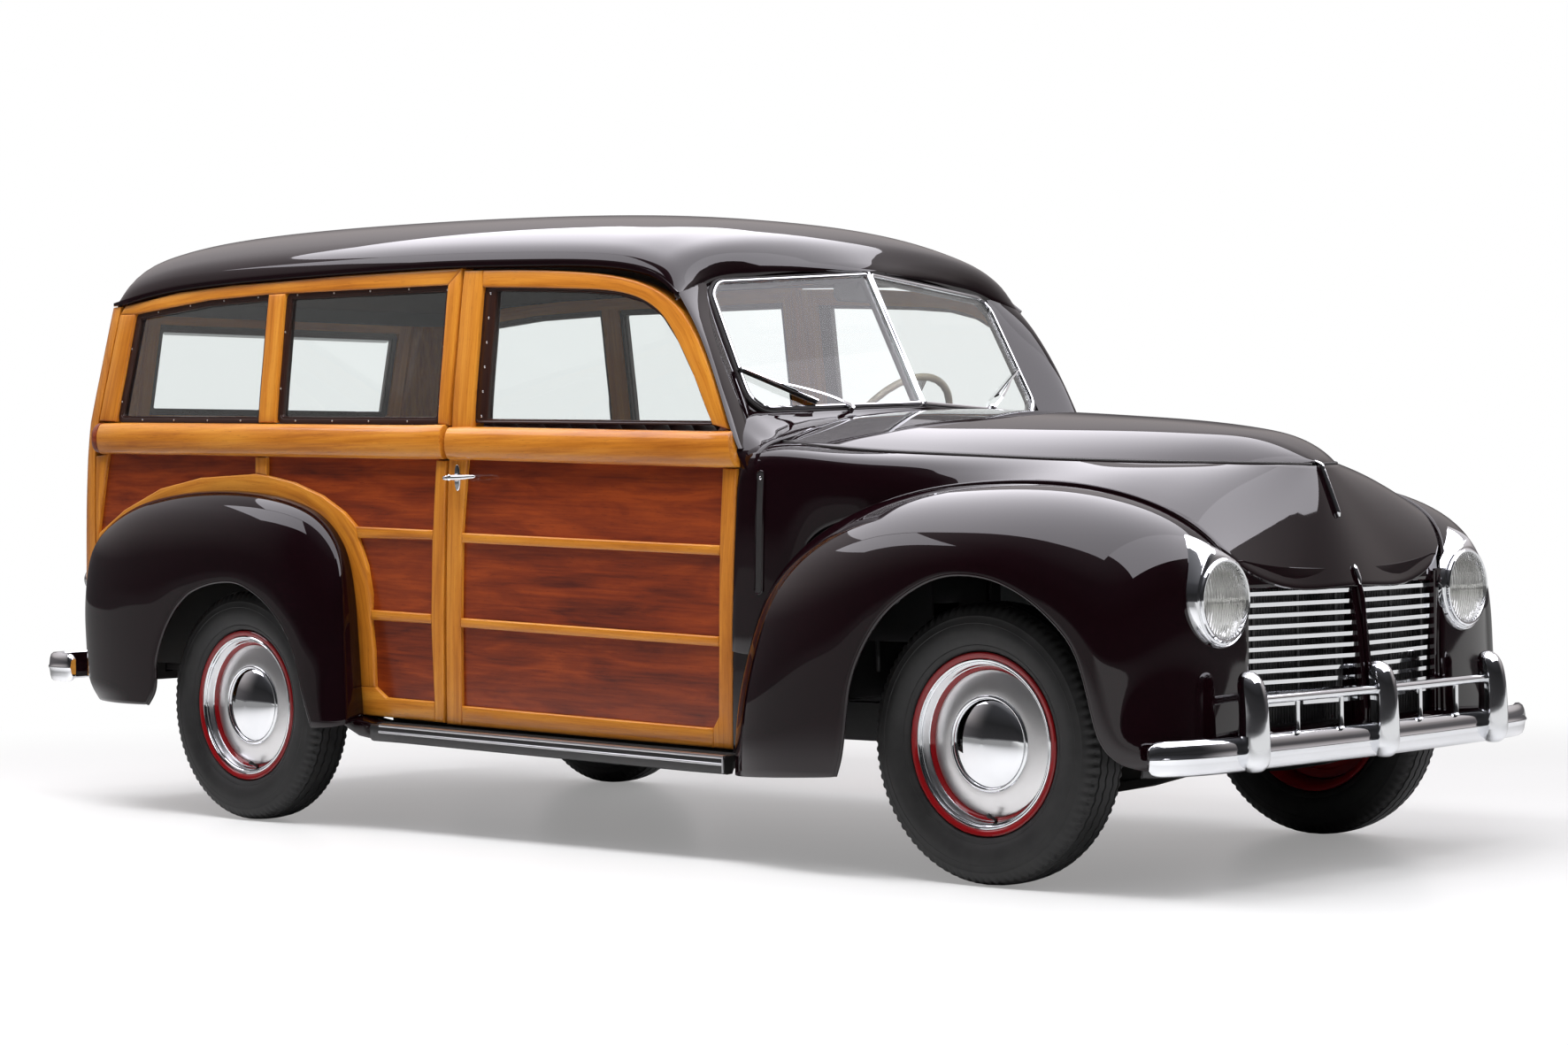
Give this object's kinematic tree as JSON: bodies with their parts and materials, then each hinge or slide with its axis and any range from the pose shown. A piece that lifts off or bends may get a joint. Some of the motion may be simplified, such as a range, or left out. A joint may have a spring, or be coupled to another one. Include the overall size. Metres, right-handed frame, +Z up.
{
  "type": "wood-bodied two-door station wagon",
  "caption": "Wood-bodied station wagon with rolling and steered wheels, opening doors, hood, tailgate and liftgate, fenders, bumpers and a seated cabin.",
  "frame": {"origin": "on the ground, at the middle of the whole car's length and width", "axes": "+X to the front of the car, +Y to its left, +Z up"},
  "size_m": [4.556, 1.7764, 1.7912],
  "materials": {
    "paint": "deep maroon gloss",
    "inner_paint": "dark satin",
    "chassis": "black satin",
    "engine": "matt",
    "exhaust": "dull",
    "chrome": "bright",
    "wheel": "red gloss with bright trim",
    "board": "ribbed satin",
    "tyre": "matt",
    "ash": "varnished",
    "mahogany": "varnished",
    "glass": "clear",
    "lamp_red": "gloss",
    "seat": "satin",
    "steer": "gloss"
  },
  "bodies": {
    "body": {"frame": "chassis", "floor": "inner_paint", "cowl": "paint", "roof": "paint", "fixed_glass": "glass", "nose": "paint", "grille": "chrome", "grille_surround": "paint", "front_fenders": "paint", "rear_fenders": "paint", "running_boards": "board", "quarter_frames": "ash", "quarter_panels": "mahogany", "rear_frame": "ash", "engine": "engine", "driveshaft": "chassis", "rear_axle": "chassis", "front_axle": "chassis", "leaf_springs": "chassis", "exhaust": "exhaust", "fuel_tank": "chassis", "headlamps": "chrome", "tail_lamps": "lamp_red", "front_bumper": "chrome", "rear_bumper": "chrome", "front_seat": "seat", "rear_seat": "seat", "steering_column": "steer"},
    "door_right": {"door_frame_right": "ash", "door_panels_right": "mahogany", "door_glass_right": "glass"},
    "door_left": {"door_frame_left": "ash", "door_panels_left": "mahogany", "door_glass_left": "glass"},
    "hood": {"hood": "paint"},
    "tailgate": {"tailgate": "ash"},
    "liftgate": {"liftgate": "ash", "liftgate_glass": "glass"},
    "knuckle_right": {"knuckle_right": "chassis"},
    "knuckle_left": {"knuckle_left": "chassis"},
    "tie_rod": {"tie_rod": "chassis"},
    "steering_wheel": {"steering_wheel": "steer"},
    "front_wheel_right": {"tyre_front_right": "tyre", "wheel_front_right": "wheel"},
    "front_wheel_left": {"tyre_front_left": "tyre", "wheel_front_left": "wheel"},
    "rear_wheel_right": {"tyre_rear_right": "tyre", "wheel_rear_right": "wheel"},
    "rear_wheel_left": {"tyre_rear_left": "tyre", "wheel_rear_left": "wheel"}
  },
  "joints": [
    {"name": "door_right_hinge", "type": "hinge", "parent": "body", "child": "door_right", "pos_m": [0.8199, -0.8, 0.75], "axis": [0, 0, 1], "range_deg": [0, 65]},
    {"name": "door_left_hinge", "type": "hinge", "parent": "body", "child": "door_left", "pos_m": [0.8199, 0.8, 0.75], "axis": [0, 0, -1], "range_deg": [0, 65]},
    {"name": "hood_hinge", "type": "hinge", "parent": "body", "child": "hood", "pos_m": [0.8199, 0, 1.167], "axis": [0, -1, 0], "range_deg": [0, 50]},
    {"name": "tailgate_hinge", "type": "hinge", "parent": "body", "child": "tailgate", "pos_m": [-2.0806, 0, 0.598], "axis": [0, -1, 0], "range_deg": [0, 90]},
    {"name": "liftgate_hinge", "type": "hinge", "parent": "body", "child": "liftgate", "pos_m": [-1.9556, 0, 1.538], "axis": [0, 1, 0], "range_deg": [0, 80]},
    {"name": "steer_right", "type": "hinge", "parent": "body", "child": "knuckle_right", "pos_m": [1.6099, -0.6, 0.34], "axis": [0, 0, 1], "range_deg": [-30, 30]},
    {"name": "steer_left", "type": "hinge", "parent": "body", "child": "knuckle_left", "pos_m": [1.6099, 0.6, 0.34], "axis": [0, 0, 1], "range_deg": [-30, 30]},
    {"name": "tie_rod_pivot", "type": "hinge", "parent": "knuckle_right", "child": "tie_rod", "pos_m": [1.4599, -0.58, 0.262], "axis": [0, 0, 1], "range_deg": [-30, 30]},
    {"name": "steering_wheel_turn", "type": "hinge", "parent": "body", "child": "steering_wheel", "pos_m": [0.3879, 0.36, 1.1], "axis": [-0.8192, 0, 0.5736], "range_deg": [-420, 420]},
    {"name": "front_wheel_right_spin", "type": "hinge", "parent": "knuckle_right", "child": "front_wheel_right", "pos_m": [1.6099, -0.712, 0.34], "axis": [0, 1, 0], "continuous": true},
    {"name": "rear_wheel_right_spin", "type": "hinge", "parent": "body", "child": "rear_wheel_right", "pos_m": [-1.1481, -0.738, 0.34], "axis": [0, 1, 0], "continuous": true},
    {"name": "front_wheel_left_spin", "type": "hinge", "parent": "knuckle_left", "child": "front_wheel_left", "pos_m": [1.6099, 0.712, 0.34], "axis": [0, 1, 0], "continuous": true},
    {"name": "rear_wheel_left_spin", "type": "hinge", "parent": "body", "child": "rear_wheel_left", "pos_m": [-1.1481, 0.738, 0.34], "axis": [0, 1, 0], "continuous": true}
  ],
  "couplings": [
    {"joint": "steer_left", "follows": "steer_right", "ratio": 1},
    {"joint": "tie_rod_pivot", "follows": "steer_right", "ratio": -1},
    {"joint": "steering_wheel_turn", "follows": "steer_right", "ratio": 14}
  ]
}
